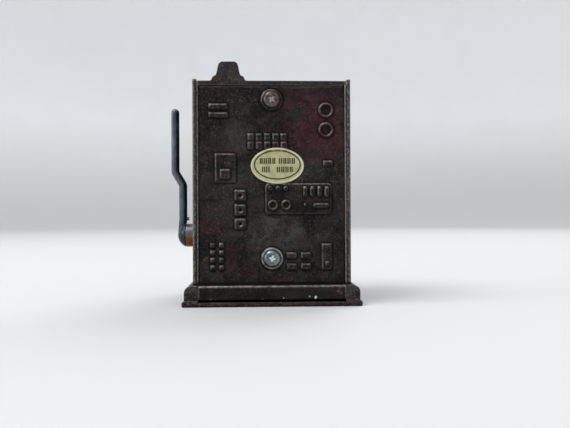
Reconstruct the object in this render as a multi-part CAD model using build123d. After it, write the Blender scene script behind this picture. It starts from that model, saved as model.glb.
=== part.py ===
from build123d import *
from math import acos, atan2, cos, degrees, pi, radians, sin, sqrt, tan
import os

# Toy slot machine, a die-cast cabinet with a pull arm. Millimetres, +Z up, the front faces -Y and the arm is
# on +X. The origin is the middle of the cabinet's footprint on the surface it stands on.

# --- cabinet ---
WIDTH, DEPTH, ROOF_Z = 41.5, 32.0, 59.0
WALL, FLOOR, ROOF = 1.5, 1.2, 1.2
HALF_W, BACK = WIDTH / 2, DEPTH / 2
FRONT, BEAD_Y = -BACK, BACK - 0.15
IN_X, IN_FRONT = HALF_W - WALL, FRONT + WALL
RIM_H, RIM_W = 0.4, 1.0
BEAD_R, INNER_BEAD_R = 0.5, 0.2
CORNER_R, CAVITY_R = 1.2, 0.3

# --- plinth moulding, offsets out from the wall and heights ---
FOOT_OUT, BEAD_OUT, BEAD_Z, BEAD_TOP = 2.35, 2.75, 0.75, 1.5
STEP_OUT, STEP_TOP, SHOULDER_OUT, SHOULDER_Z = 2.1, 3.7, 1.05, 5.2
COVE_OUT, COVE_Z = 0.8, 5.9
LEDGE_BACK = BACK + 2.4

# --- back plate ---
PLATE_BACK, PLATE_T, PLATE_GAP = 15.7, 1.3, 0.12
PLATE_HALF_W = IN_X - PLATE_GAP
PLATE_TOP, PLATE_LOW, LEDGE_LOW, LEDGE_TOP = 57.65, 1.5, 1.6, 5.5
RELIEF, PLATE_CORNER_R = 0.35, 0.4
SCREW_Z = {"upper_back_screw": 54.0, "lower_back_screw": 12.3}
BOSS_R, BOSS_H = 2.85, 0.5
HEAD_R, HEAD_H, SHANK_R, SHANK_FREE, THREAD_L = 2.2, 1.1, 1.4, 0.05, 6.0
POST_R = 2.6

# --- coin head, cast on the roof ---
COIN_X, COIN_DEPTH = 11.4, 10.0
COIN_FOOT, COIN_STEP_H, COIN_LOW, COIN_TOP, COIN_H = 4.45, 1.25, 3.28, 2.63, 5.0

# --- pull arm ---
ARM_Y, ARM_Z = 2.0, 18.1
ARM_TRAVEL = 55.0
BUSH_R, BUSH_END, BUSH_SLEEVE_R = 3.25, 24.05, 2.1
ARM_SHAFT_R, FIT = 1.5, 0.05
HUB_X, HUB_END, DOME_R = 24.15, 26.35, 3.5
ROD_R, ROD_LOW_X, ROD_HIGH_X, ROD_TOP = 1.12, 24.9, 27.05, 53.9
KINK_LOW, KINK_HIGH = 32.3, 35.9

# --- reels and gears ---
REEL_SHAFT_R, REEL_Y = 1.0, -3.5
MODULE, PINION_TEETH, SECTOR_TEETH = 0.6, 12, 48
PRESSURE = radians(20)
SECTOR_ADDENDUM, PINION_ADDENDUM, DEDENDUM, TOOTH_THIN = 0.42, 0.5, 0.75, 0.06
CENTRES = MODULE * (PINION_TEETH + SECTOR_TEETH) / 2
REEL_Z = ARM_Z + sqrt(CENTRES**2 - (REEL_Y - ARM_Y) ** 2)
MESH_ANGLE = degrees(atan2(REEL_Z - ARM_Z, REEL_Y - ARM_Y))
GEAR_X, GEAR_T = 15.3, 1.2
SECTOR_FROM, SECTOR_TO = MESH_ANGLE - ARM_TRAVEL - 13, MESH_ANGLE + 13
REEL_R, BAND_T, REEL_W, REEL_PITCH = 10.0, 0.3, 7.0, 8.0
REEL_NAMES = ("left", "centre", "right")

# --- mechanism frame ---
FRAME_X, FRAME_T, FRAME_LOW = 13.6, 0.8, 2.4
BAR_Y, BAR_Z, BAR = 9.6, 24.0, 2.4
STOP_R, STOP_ORBIT = 0.6, 8.0

# --- front ---
WINDOW_X, WINDOW_H, LENS_T = 12.5, 10.0, 0.5
PANEL_W, PANEL_Z, PANEL_H = 32.0, 19.4, 14.6
AWARD_Z, AWARD_H = 50.6, 12.0
RAYS, PILASTER_X, GROOVE_DEEP = 24, (17.0, 17.85, 18.7), 0.3


def block(x0, x1, y0, y1, z0, z1):
    centre = ((x0 + x1) / 2, (y0 + y1) / 2, (z0 + z1) / 2)
    return Pos(*centre) * Box(abs(x1 - x0), abs(y1 - y0), abs(z1 - z0))


def rod_x(radius, x0, x1, y, z):
    return Pos((x0 + x1) / 2, y, z) * Rot(0, 90, 0) * Cylinder(radius, abs(x1 - x0))


def rod_y(radius, x, z, y0, y1):
    return Pos(x, (y0 + y1) / 2, z) * Rot(90, 0, 0) * Cylinder(radius, abs(y1 - y0))


def rod_z(radius, x, y, z0, z1):
    return Pos(x, y, (z0 + z1) / 2) * Cylinder(radius, abs(z1 - z0))


def slab_yz(outline, x0, x1):
    """A closed line drawn with X as the row's Y and Y as the row's Z, stood up between two X places."""
    plane = Plane(origin=(x0, 0, 0), x_dir=(0, 1, 0), z_dir=(1, 0, 0))
    return extrude(plane * make_face(outline), x1 - x0)


def slab_xz(outline, y0, y1):
    """A closed line drawn with X as the row's X and Y as the row's Z, stood up between two Y places."""
    plane = Plane(origin=(0, y0, 0), x_dir=(1, 0, 0), z_dir=(0, -1, 0))
    return extrude(plane * make_face(outline), y0 - y1)


def ribbon(points, thickness):
    """Outline of a bent strip that follows the points at half a thickness to each side."""
    half, sides = thickness / 2, ([], [])
    for i, (u, v) in enumerate(points):
        before, after = points[max(i - 1, 0)], points[min(i + 1, len(points) - 1)]
        along = Vector(after[0] - before[0], after[1] - before[1]).normalized()
        sides[0].append((u - along.Y * half, v + along.X * half))
        sides[1].append((u + along.Y * half, v - along.X * half))
    return Polyline(*sides[0], *reversed(sides[1]), close=True)


# ---------------------------------------------------------------- casing
def moulding_curve(wall, side):
    """The plinth's outline from the floor up to the wall, on one side. side is 1 or -1."""

    def at(out, z):
        return (side * (wall + out), z)

    return [
        ThreePointArc(at(FOOT_OUT, 0), at(BEAD_OUT, BEAD_Z), at(STEP_OUT, BEAD_TOP)),
        Line(at(STEP_OUT, BEAD_TOP), at(STEP_OUT, STEP_TOP)),
        ThreePointArc(at(STEP_OUT, STEP_TOP), at(STEP_OUT - 0.24, STEP_TOP + 0.85), at(SHOULDER_OUT, SHOULDER_Z)),
        Line(at(SHOULDER_OUT, SHOULDER_Z), at(COVE_OUT, SHOULDER_Z + 0.08)),
        ThreePointArc(at(COVE_OUT, SHOULDER_Z + 0.08), at(0.28, SHOULDER_Z + 0.38), at(0, COVE_Z)),
    ]


def plinth():
    """Two mouldings run through each other, so that their corners are mitred."""
    across = moulding_curve(HALF_W, 1) + moulding_curve(HALF_W, -1)
    across += [Line((-HALF_W, COVE_Z), (HALF_W, COVE_Z))]
    across += [Line((-HALF_W - FOOT_OUT, 0), (HALF_W + FOOT_OUT, 0))]
    rear_foot = LEDGE_BACK + FOOT_OUT - STEP_OUT
    rear_bead = LEDGE_BACK + BEAD_OUT - STEP_OUT
    along = moulding_curve(BACK, -1)
    along += [
        Line((FRONT, COVE_Z), (BACK, COVE_Z)),
        Line((BACK, COVE_Z), (BACK, LEDGE_TOP)),
        Line((BACK, LEDGE_TOP), (LEDGE_BACK, LEDGE_TOP)),
        Line((LEDGE_BACK, LEDGE_TOP), (LEDGE_BACK, BEAD_TOP)),
        ThreePointArc((LEDGE_BACK, BEAD_TOP), (rear_bead, BEAD_Z), (rear_foot, 0)),
        Line((rear_foot, 0), (FRONT - FOOT_OUT, 0)),
    ]
    side_run = slab_xz(across, LEDGE_BACK + BEAD_OUT, FRONT - BEAD_OUT - 1)
    front_run = slab_yz(along, -HALF_W - BEAD_OUT - 1, HALF_W + BEAD_OUT + 1)
    plan = Pos(0, (rear_bead + FRONT - BEAD_OUT) / 2) * RectangleRounded(
        WIDTH + 2 * BEAD_OUT, rear_bead - FRONT + BEAD_OUT, 0.9)
    return side_run & front_run & extrude(plan, COVE_Z + 1)


def coin_head():
    """Stepped block over the roof's rear edge, with a blind coin slot in its top."""
    half = [
        (COIN_FOOT + 0.25, 0),
        (COIN_FOOT - 0.15, 0.35),
        (COIN_FOOT - 0.3, COIN_STEP_H - 0.35),
        (COIN_FOOT - 0.6, COIN_STEP_H - 0.1),
        (COIN_LOW, COIN_STEP_H + 0.15),
        (COIN_LOW - 0.3, COIN_STEP_H + 1.0),
        (COIN_TOP, COIN_H - 1.0),
        (COIN_TOP - 0.25, COIN_H - 0.45),
        (COIN_TOP - 0.9, COIN_H),
    ]
    outline = [(COIN_X + x, ROOF_Z + z) for x, z in half]
    outline += [(COIN_X - x, ROOF_Z + z) for x, z in reversed(half)]
    head = slab_xz(Polyline(*outline, close=True), BACK, BACK - COIN_DEPTH)
    middle = BACK - COIN_DEPTH / 2
    slot = block(COIN_X - 0.45, COIN_X + 0.45, middle - 2.2, middle + 2.2, ROOF_Z + COIN_H - 1.2, ROOF_Z + 6)
    return head - slot


def sunburst():
    """Rays that widen from a round medallion and stop at the lower panel's frame."""
    step = 2 * pi / RAYS
    rays = Sketch()
    for i in range(RAYS):
        corners = []
        for radius, spread in ((3.8, -0.12), (17.0, -0.26), (17.0, 0.26), (3.8, 0.12)):
            angle = step * (i + spread)
            corners.append((radius * cos(angle), radius * sin(angle)))
        rays += make_face(Polyline(*corners, close=True))
    return (rays & Rectangle(PANEL_W - 3.6, PANEL_H - 3.6)) + Circle(3.1)


def on_front(face, z, height):
    """A drawn face stood on the front wall's outer side."""
    return extrude(Plane.XZ.offset(-FRONT - 0.05) * Pos(0, z) * face, height + 0.05)


def front_relief():
    """Cast frames, sunburst and fluted pilasters on the front face."""
    relief = [on_front(sunburst(), PANEL_Z, 0.4)]
    relief.append(rod_y(1.7, 0, PANEL_Z, FRONT - 0.75, FRONT))
    for middle, tall in ((PANEL_Z, PANEL_H), (AWARD_Z, AWARD_H)):
        frame = RectangleRounded(PANEL_W, tall, 1.5) - RectangleRounded(PANEL_W - 2.4, tall - 2.4, 0.8)
        relief.append(on_front(frame, middle, 0.55))
    for side in (-1, 1):
        for x in PILASTER_X:
            flute = rod_z(0.42, side * x, FRONT, 8.4, ROOF_Z - 2.4)
            relief.append(flute)
        for low, high in ((7.0, 8.6), (ROOF_Z - 2.6, ROOF_Z - 1.0)):
            relief.append(block(side * 16.5, side * 19.2, FRONT - 0.6, FRONT + 0.05, low, high))
    return relief


def side_groove(side):
    """Engraved border on a side wall."""
    tall, deep = ROOF_Z - COVE_Z - 8, DEPTH - 8
    border = RectangleRounded(deep, tall, 1.6) - RectangleRounded(deep - 1.2, tall - 1.2, 1.0)
    plane = Plane(origin=(side * (HALF_W - GROOVE_DEEP), 0, COVE_Z + 4 + tall / 2), x_dir=(0, side, 0), z_dir=(side, 0, 0))
    return extrude(plane * border, 1)


def casing():
    shell = block(-HALF_W, HALF_W, FRONT, BACK, 0, ROOF_Z)
    shell = fillet(shell.edges().filter_by(Axis.Z).group_by(Axis.Y)[0], CORNER_R)
    shell += plinth()
    for side in (-1, 1):
        shell += block(side * (HALF_W - RIM_W), side * HALF_W, FRONT + 2, BACK, ROOF_Z - 1, ROOF_Z + RIM_H)
    cavity = block(-IN_X, IN_X, IN_FRONT, LEDGE_BACK + 3, FLOOR, ROOF_Z - ROOF)
    shell -= fillet(cavity.edges().filter_by(Axis.Y), CAVITY_R)
    for side in (-1, 1):
        shell += rod_z(BEAD_R, side * (HALF_W - BEAD_R), BEAD_Y, COVE_Z, ROOF_Z + RIM_H - BEAD_R)
        shell += Pos(side * (HALF_W - BEAD_R), BEAD_Y, ROOF_Z + RIM_H - BEAD_R) * Sphere(BEAD_R)
        shell += rod_z(INNER_BEAD_R, side * (IN_X + INNER_BEAD_R + 0.05), BACK, COVE_Z, ROOF_Z - ROOF)
    shell += coin_head()
    for piece in front_relief():
        shell += piece
    for side in (-1, 1):
        shell -= side_groove(side)
    for z in SCREW_Z.values():
        shell += rod_y(POST_R, 0, z, IN_FRONT - 0.2, PLATE_BACK - PLATE_T)
        shell -= rod_y(SHANK_R + SHANK_FREE, 0, z, PLATE_BACK - PLATE_T - THREAD_L - 1, BACK)
    shell -= block(-WINDOW_X, WINDOW_X, FRONT - 1, IN_FRONT + 1, REEL_Z - WINDOW_H / 2, REEL_Z + WINDOW_H / 2)
    shell -= block(-4.5, 4.5, FRONT - 1, FRONT + 0.8, 7.6, 10.4)
    shell -= rod_x(BUSH_SLEEVE_R, IN_X - 1, HALF_W + 1, ARM_Y, ARM_Z)
    shell += rod_x(ANCHOR_R, 17.3, IN_X + 0.2, *anchor_place())
    for x, y in frame_screw_places():
        shell += rod_z(2.6, x, y, FLOOR - 0.2, FRAME_LOW)
        shell -= rod_z(2.3, x, y, -1, 1.0)
        shell -= rod_z(1.3, x, y, -1, FRAME_LOW + 1)
    return shell


# ---------------------------------------------------------------- back plate
def raised(face, x, z, height=RELIEF):
    """A drawn face stood on the plate's outer side. The face's own X runs towards -X of the row."""
    plane = Plane(origin=(x, PLATE_BACK - 0.05, z), x_dir=(-1, 0, 0), z_dir=(0, 1, 0))
    return extrude(plane * face, height + 0.05)


def ring_face(outer, inner):
    return Circle(outer) - Circle(inner)


def plate_relief():
    """Raised make-believe electronics."""
    pieces = []
    for z in (52.3, 50.0):
        pieces.append(raised(RectangleRounded(5.1, 1.35, 0.25), 14.0, z))
    for row_z in (44.2, 42.0):
        for column in range(5):
            pieces.append(raised(RectangleRounded(1.7, 1.95, 0.25), 5.5 - 2.17 * column, row_z))
    for z in (51.3, 46.1):
        pieces.append(raised(ring_face(2.0, 1.36), -14.35, z))
    pieces.append(raised(RectangleRounded(2.45, 1.45, 0.25), -14.8, 37.3))
    pieces.append(raised(RectangleRounded(5.5, 7.7, 0.4), 12.25, 36.1, 0.25))
    pieces.append(raised(RectangleRounded(2.7, 2.5, 0.25), 12.3, 34.5, 0.55))
    for z in (28.9, 25.05, 21.4):
        pieces.append(raised(RectangleRounded(3.0, 2.85, 0.3) - Circle(0.47), 8.3, z))
    panel = RectangleRounded(17.5, 8.1, 1.0)
    pieces.append(raised(panel, -7.0, 28.0, 0.2))
    for x in (0.45, -1.62, -3.63):
        pieces.append(raised(ring_face(0.6, 0.18), x, 30.7, 0.45))
    for x in (-0.3, -3.77):
        pieces.append(raised(ring_face(1.36, 0.78), x, 26.3, 0.5))
    for column in range(4):
        pieces.append(raised(SlotOverall(2.83, 1.13, rotation=90), -8.76 - 1.9 * column, 29.85, 0.5))
    pieces.append(raised(Circle(0.34), -8.7, 26.35, 0.45))
    pieces.append(raised(SlotOverall(4.2, 1.35), -12.9, 26.2, 0.5))
    for x in (15.55, 13.25):
        for row in range(4):
            pieces.append(raised(RectangleRounded(1.25, 1.25, 0.2), x, 15.8 - 1.97 * row))
    for x in (-5.15, -8.9):
        pieces.append(raised(RectangleRounded(2.6, 1.65, 0.25), x, 13.0))
        pieces.append(raised(RectangleRounded(2.6, 1.65, 0.25) - Circle(0.22), x, 10.1))
    pieces.append(raised(RectangleRounded(2.7, 7.0, 0.3), -14.4, 12.7))
    pieces.append(raised(RectangleRounded(1.15, 1.2, 0.15), -14.5, 10.9, 0.6))
    return pieces


def back_plate():
    plate = block(-PLATE_HALF_W, PLATE_HALF_W, PLATE_BACK - PLATE_T, PLATE_BACK, PLATE_LOW, PLATE_TOP)
    plate = fillet(plate.edges().filter_by(Axis.Y), PLATE_CORNER_R)
    ledge = block(-PLATE_HALF_W, PLATE_HALF_W, PLATE_BACK - 0.1, LEDGE_BACK, LEDGE_LOW, LEDGE_TOP)
    plate += fillet(ledge.edges().filter_by(Axis.Y), 0.25)
    for piece in plate_relief():
        plate += piece
    for z in SCREW_Z.values():
        plate += raised(Circle(BOSS_R), 0, z, BOSS_H)
        plate -= rod_y(SHANK_R + 0.25, 0, z, 0, LEDGE_BACK)
    return plate


def back_screw(z):
    """Pan-head screw with a cross recess, its head on the plate's boss."""
    seat = PLATE_BACK + BOSS_H
    head = rod_y(HEAD_R, 0, z, seat, seat + HEAD_H)
    head = fillet(head.edges().group_by(Axis.Y)[-1], 0.75)
    screw = head + rod_y(SHANK_R, 0, z, PLATE_BACK - PLATE_T - THREAD_L, seat + 0.1)
    for turn in (0, 90):
        arm = Rot(0, turn + 20, 0) * Box(2.3, 1.2, 0.5)
        screw -= Pos(0, seat + HEAD_H, z) * arm
    return screw


def origin_sticker(plate):
    """Oval label beside the raised details, which it fits round."""
    plane = Plane(origin=(-1.45, PLATE_BACK, 36.65), x_dir=(-1, 0, 0), z_dir=(0, 1, 0))
    label = extrude(plane * Ellipse(7.0, 4.72), 0.12) - plate
    return max(label.solids(), key=lambda solid: solid.volume)


# ---------------------------------------------------------------- front trim
def window_bezel():
    plane = Plane.XZ.offset(-FRONT)
    frame = RectangleRounded(2 * WINDOW_X + 5, WINDOW_H + 5, 1.6) - Rectangle(2 * WINDOW_X - 0.6, WINDOW_H - 0.6)
    for x in (-REEL_PITCH / 2, REEL_PITCH / 2):
        frame += Pos(x, 0) * Rectangle(1.0, WINDOW_H)
    bezel = extrude(plane * Pos(0, REEL_Z) * frame, 0.9)
    return chamfer(bezel.edges().group_by(Axis.Y)[0], 0.25)


def window_lens():
    return block(-WINDOW_X - 0.9, WINDOW_X + 0.9, IN_FRONT, IN_FRONT + LENS_T, REEL_Z - 5.9, REEL_Z + 5.9)


def award_plate():
    """Tin plate in the upper frame, with rows of raised pips."""
    low, high = AWARD_Z - AWARD_H / 2 + 1.5, AWARD_Z + AWARD_H / 2 - 1.5
    plate = block(-14.5, 14.5, FRONT - 0.3, FRONT, low, high)
    for row in range(3):
        for column in range(7):
            x, z = -12 + 4 * column, low + 1.7 + 2.8 * row
            plate += rod_y(0.75, x, z, FRONT - 0.55, FRONT - 0.2)
    return plate


def payout_tray():
    """Half-round cup under the payout mouth."""
    outer = Pos(0, FRONT) * Ellipse(7.2, 3.4)
    inner = Pos(0, FRONT) * Ellipse(6.5, 2.7)
    before = Pos(0, FRONT - 5) * Rectangle(20, 10)
    cup = extrude(Pos(0, 0, 6.0) * (outer & before), 3.4)
    return cup - extrude(Pos(0, 0, 6.8) * (inner & before), 4)


# ---------------------------------------------------------------- pull arm
def lever_bushing():
    collar = rod_x(BUSH_R, HALF_W, BUSH_END, ARM_Y, ARM_Z)
    collar = fillet(collar.edges().group_by(Axis.X)[-1], 0.3)
    sleeve = rod_x(BUSH_SLEEVE_R, IN_X, HALF_W + 0.1, ARM_Y, ARM_Z)
    return collar + sleeve - rod_x(ARM_SHAFT_R + FIT, IN_X - 1, BUSH_END + 1, ARM_Y, ARM_Z)


def domed_hub():
    """Disc with a flat inner side and a spherical outer side."""

    def rim(x):
        return (x, sqrt(DOME_R**2 - (x - HUB_END + DOME_R) ** 2))

    flat = [Line((HUB_END, 0), (HUB_X, 0)), Line((HUB_X, 0), rim(HUB_X))]
    dome = ThreePointArc(rim(HUB_X), rim((HUB_X + HUB_END) / 2), (HUB_END, 0))
    return Pos(0, ARM_Y, ARM_Z) * revolve(make_face([*flat, dome]), Axis.X, 360)


def pull_arm():
    """Kinked round rod that grows out of a domed hub."""
    hub = domed_hub()
    route = [(HUB_X + ROD_R, ARM_Z), (ROD_LOW_X, ARM_Z + 4.6), (ROD_LOW_X, KINK_LOW), (ROD_HIGH_X, KINK_HIGH)]
    route += [(ROD_HIGH_X, ROD_TOP - ROD_R)]
    path = FilletPolyline(*[(x, ARM_Y, z) for x, z in route], radius=1.6)
    rod = sweep(Plane(origin=path @ 0, z_dir=path % 0) * Circle(ROD_R), path)
    rod += Pos(ROD_HIGH_X, ARM_Y, ROD_TOP - ROD_R) * Sphere(ROD_R)
    rod -= rod_x(BUSH_R + 0.1, HALF_W, HUB_X, ARM_Y, ARM_Z)
    nub = rod_x(0.5, ROD_LOW_X - ROD_R - 0.5, ROD_LOW_X, ARM_Y, ARM_Z + 4.7)
    return hub + rod + nub - rod_x(ARM_SHAFT_R, HUB_X - 1, HUB_END - 0.8, ARM_Y, ARM_Z)


def lever_shaft():
    shaft = rod_x(ARM_SHAFT_R, 12.5, HUB_END - 0.8, ARM_Y, ARM_Z)
    groove = rod_x(ARM_SHAFT_R + 1, 13.0, 13.45, ARM_Y, ARM_Z) - rod_x(1.1, 12, 14, ARM_Y, ARM_Z)
    return shaft - groove


def snap_clip(shaft_groove_r, outer_r, x0, x1, y, z):
    ring = rod_x(outer_r, x0, x1, y, z) - rod_x(shaft_groove_r, x0 - 1, x1 + 1, y, z)
    return ring - block(x0 - 1, x1 + 1, y, y + outer_r + 1, z - 0.5, z + 0.5)


# ---------------------------------------------------------------- gears
def involute(angle):
    return tan(angle) - angle


def half_tooth(radius, teeth):
    """Half a tooth's angle, in radians, at a radius from the gear's centre."""
    pitch_r = MODULE * teeth / 2
    base_r = pitch_r * cos(PRESSURE)
    at_pitch = pi / (2 * teeth) - TOOTH_THIN / (2 * pitch_r)
    here = acos(min(1.0, base_r / radius))
    return at_pitch + involute(PRESSURE) - involute(here)


def tooth_outline(teeth, addendum):
    """One tooth on the +X side of a gear centred on the origin, drawn from root to tip and back."""
    pitch_r = MODULE * teeth / 2
    base_r, root_r, tip_r = pitch_r * cos(PRESSURE), pitch_r - DEDENDUM, pitch_r + addendum
    start = max(base_r, root_r)
    radii = [start + (tip_r - start) * step / 5 for step in range(6)]
    flank = [(r, half_tooth(r, teeth)) for r in radii]
    flank.insert(0, (root_r - 0.3, flank[0][1]))
    upper = [(r * cos(a), r * sin(a)) for r, a in flank]
    lower = [(x, -y) for x, y in reversed(upper)]
    return Polyline(*upper, *lower, close=True), root_r


def gear_teeth(teeth, addendum, angles):
    """Root radius, and the teeth at those angles in degrees from +Y towards +Z, as one sketch."""
    outline, root_r = tooth_outline(teeth, addendum)
    tooth = make_face(outline)
    return root_r, [Rot(0, 0, angle) * tooth for angle in angles]


def stand_yz(sketch, x, thick, y, z):
    plane = Plane(origin=(x, y, z), x_dir=(0, 1, 0), z_dir=(1, 0, 0))
    return extrude(plane * sketch, thick)


def wedge(radius, start, end):
    """Pie slice from one angle to another, in degrees."""
    ends = [radians(a) for a in (start, (start + end) / 2, end)]
    arc = ThreePointArc(*[(radius * cos(a), radius * sin(a)) for a in ends])
    return make_face([arc, Line(arc @ 1, (0, 0)), Line((0, 0), arc @ 0)])


def stop_angles():
    """Where the stop pin stands round the arm shaft, and how far the sector's slot runs."""
    pin = SECTOR_TO - 8
    play = degrees(0.1 / STOP_ORBIT)
    return pin, pin - ARM_TRAVEL - play, pin + play


def sector_gear():
    pitch_angle = 360 / SECTOR_TEETH
    first = -int((MESH_ANGLE - SECTOR_FROM - 2) // pitch_angle)
    last = int((SECTOR_TO - MESH_ANGLE - 2) // pitch_angle)
    angles = [MESH_ANGLE + pitch_angle * k for k in range(first, last + 1)]
    root_r, teeth = gear_teeth(SECTOR_TEETH, SECTOR_ADDENDUM, angles)
    sketch = wedge(root_r, SECTOR_FROM, SECTOR_TO) + Circle(3.0)
    for tooth in teeth:
        sketch += tooth
    _, slot_from, slot_to = stop_angles()
    half = STOP_R + 0.15
    band = wedge(STOP_ORBIT + half, slot_from, slot_to) - Circle(STOP_ORBIT - half)
    ends = [Pos(STOP_ORBIT * cos(radians(a)), STOP_ORBIT * sin(radians(a))) * Circle(half) for a in (slot_from, slot_to)]
    sketch = sketch - band - ends[0] - ends[1] - Circle(ARM_SHAFT_R)
    boss = ring_face(3.0, ARM_SHAFT_R)
    return stand_yz(sketch, GEAR_X, GEAR_T, ARM_Y, ARM_Z) + stand_yz(boss, GEAR_X - 0.8, 0.9, ARM_Y, ARM_Z)


def reel_pinion():
    """The pinion has a gap where the sector has a tooth."""
    pitch_angle = 360 / PINION_TEETH
    facing = MESH_ANGLE + 180
    angles = [facing + pitch_angle * (k + 0.5) for k in range(PINION_TEETH)]
    root_r, teeth = gear_teeth(PINION_TEETH, PINION_ADDENDUM, angles)
    sketch = Circle(root_r)
    for tooth in teeth:
        sketch += tooth
    sketch -= Circle(REEL_SHAFT_R)
    collar = ring_face(2.2, REEL_SHAFT_R)
    wide = GEAR_T + 0.2
    return stand_yz(sketch, GEAR_X - 0.1, wide, REEL_Y, REEL_Z) + stand_yz(collar, 14.5, 0.8, REEL_Y, REEL_Z)


# ---------------------------------------------------------------- return spring
SPRING_X, SPRING_R, WIRE_R, SPRING_PITCH, SPRING_TURNS = 16.95, 2.5, 0.22, 0.56, 3
LEG_L, SPRING_PIN_R, ANCHOR_R = 5.2, 0.5, 0.7


def beside_leg(pin_r, height):
    """Place in Y and Z of a pin that a spring leg leans on."""
    return ARM_Y + SPRING_R + WIRE_R + pin_r + 0.02, ARM_Z + height


def anchor_place():
    return beside_leg(ANCHOR_R, -LEG_L + 0.6)


def pin_place():
    return beside_leg(SPRING_PIN_R, LEG_L - 0.6)


def return_spring():
    """Torsion spring round the arm shaft, coil and two straight legs."""
    length = SPRING_PITCH * SPRING_TURNS
    coil_path = Helix(SPRING_PITCH, length, SPRING_R)
    coil = sweep(Plane(origin=coil_path @ 0, z_dir=coil_path % 0) * Circle(WIRE_R), coil_path, is_frenet=True)
    spring = coil
    for side, height in ((1, 0), (-1, length)):
        spring += Pos(SPRING_R, side * LEG_L / 2, height) * Rot(90, 0, 0) * Cylinder(WIRE_R, LEG_L)
    return Pos(SPRING_X, ARM_Y, ARM_Z) * Rot(0, 90, 0) * Rot(0, 0, 90) * spring


# ---------------------------------------------------------------- reels
def reel_shaft():
    shaft = rod_x(REEL_SHAFT_R, -15.8, 17.2, REEL_Y, REEL_Z)
    groove = rod_x(2, -15.1, -14.65, REEL_Y, REEL_Z) - rod_x(0.7, -16, -14, REEL_Y, REEL_Z)
    return shaft - groove


def reel_drum(x):
    """Spool with a hub, a web with five holes and a rim under the printed band."""
    rim = rod_x(REEL_R - BAND_T, x - REEL_W / 2, x + REEL_W / 2, REEL_Y, REEL_Z)
    rim -= rod_x(REEL_R - BAND_T - 0.8, x - REEL_W, x + REEL_W, REEL_Y, REEL_Z)
    web = rod_x(REEL_R - BAND_T - 0.5, x - 0.5, x + 0.5, REEL_Y, REEL_Z)
    for k in range(5):
        hole_y, hole_z = 5.4 * cos(radians(72 * k)), 5.4 * sin(radians(72 * k))
        web -= rod_x(1.7, x - 1, x + 1, REEL_Y + hole_y, REEL_Z + hole_z)
    hub = rod_x(2.4, x - REEL_W / 2, x + REEL_W / 2, REEL_Y, REEL_Z)
    return rim + web + hub - rod_x(REEL_SHAFT_R + FIT, x - REEL_W, x + REEL_W, REEL_Y, REEL_Z)


def reel_band(x):
    outer = rod_x(REEL_R, x - REEL_W / 2 + 0.15, x + REEL_W / 2 - 0.15, REEL_Y, REEL_Z)
    return outer - rod_x(REEL_R - BAND_T, x - REEL_W, x + REEL_W, REEL_Y, REEL_Z)


def spacer_washers():
    """Two thin washers between the reels and a thicker one at each end."""
    half_gap = (REEL_PITCH - REEL_W) / 2
    runs = [(side * REEL_PITCH / 2, half_gap - 0.1) for side in (-1, 1)]
    end = (REEL_PITCH + REEL_W / 2 + FRAME_X) / 2
    runs += [(side * end, FRAME_X - end - 0.1) for side in (-1, 1)]
    rings = [rod_x(2.2, x - half, x + half, REEL_Y, REEL_Z) for x, half in runs]
    bore = rod_x(REEL_SHAFT_R, -20, 20, REEL_Y, REEL_Z)
    return [ring - bore for ring in rings]


# ---------------------------------------------------------------- mechanism frame
def frame_screw_places():
    return [(-9.5, -2.0), (9.5, -2.0)]


def stop_pin_place():
    angle = radians(stop_angles()[0])
    return ARM_Y + STOP_ORBIT * cos(angle), ARM_Z + STOP_ORBIT * sin(angle)


def mechanism_frame():
    """One bent strip of sheet steel: a web on the floor bosses and two upright cheeks."""
    out = FRAME_X + FRAME_T
    channel = block(-out, out, -9, 13, FRAME_LOW, 40)
    channel = fillet(channel.edges().filter_by(Axis.Y).group_by(Axis.Z)[0], 1.2)
    hollow = block(-FRAME_X, FRAME_X, -10, 14, FRAME_LOW + FRAME_T, 41)
    channel -= fillet(hollow.edges().filter_by(Axis.Y).group_by(Axis.Z)[0], 0.4)
    cheek = Polyline((-8.5, 0), (11, 0), (12.2, 26), (9, 29), (1.5, 39.5), (-8.5, 39.5), (-8.5, 30), close=True)
    frame = channel & slab_yz(cheek, -20, 20)
    frame -= rod_x(REEL_SHAFT_R + FIT, -20, 20, REEL_Y, REEL_Z)
    frame -= rod_x(ARM_SHAFT_R + FIT, 10, 20, ARM_Y, ARM_Z)
    frame -= rod_x(0.8, -20, 20, BAR_Y, BAR_Z)
    frame -= rod_x(STOP_R, 10, 20, *stop_pin_place())
    for x, y in frame_screw_places():
        frame -= rod_z(1.2, x, y, 0, 8)
    return frame


def frame_screws():
    """Pan heads in the floor's counterbores, threaded up into the frame's web."""
    made = []
    for x, y in frame_screw_places():
        head = rod_z(2.1, x, y, 0.15, 1.0)
        head = fillet(head.edges().group_by(Axis.Z)[0], 0.5)
        screw = head + rod_z(1.2, x, y, 0.9, 4.6)
        for turn in (0, 90):
            screw -= Pos(x, y, 0.15) * Rot(0, 0, turn + 30) * Box(2.2, 0.45, 0.8)
        made.append(screw)
    return made


def stop_pin():
    place = stop_pin_place()
    return rod_x(STOP_R, FRAME_X, 17.4, *place) + rod_x(1.1, FRAME_X - 0.6, FRAME_X, *place)


def brake_bar():
    half = BAR / 2
    bar = block(-FRAME_X, FRAME_X, BAR_Y - half, BAR_Y + half, BAR_Z - half, BAR_Z + half)
    return bar + rod_x(0.8, -FRAME_X - FRAME_T, FRAME_X + FRAME_T, BAR_Y, BAR_Z)


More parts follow.
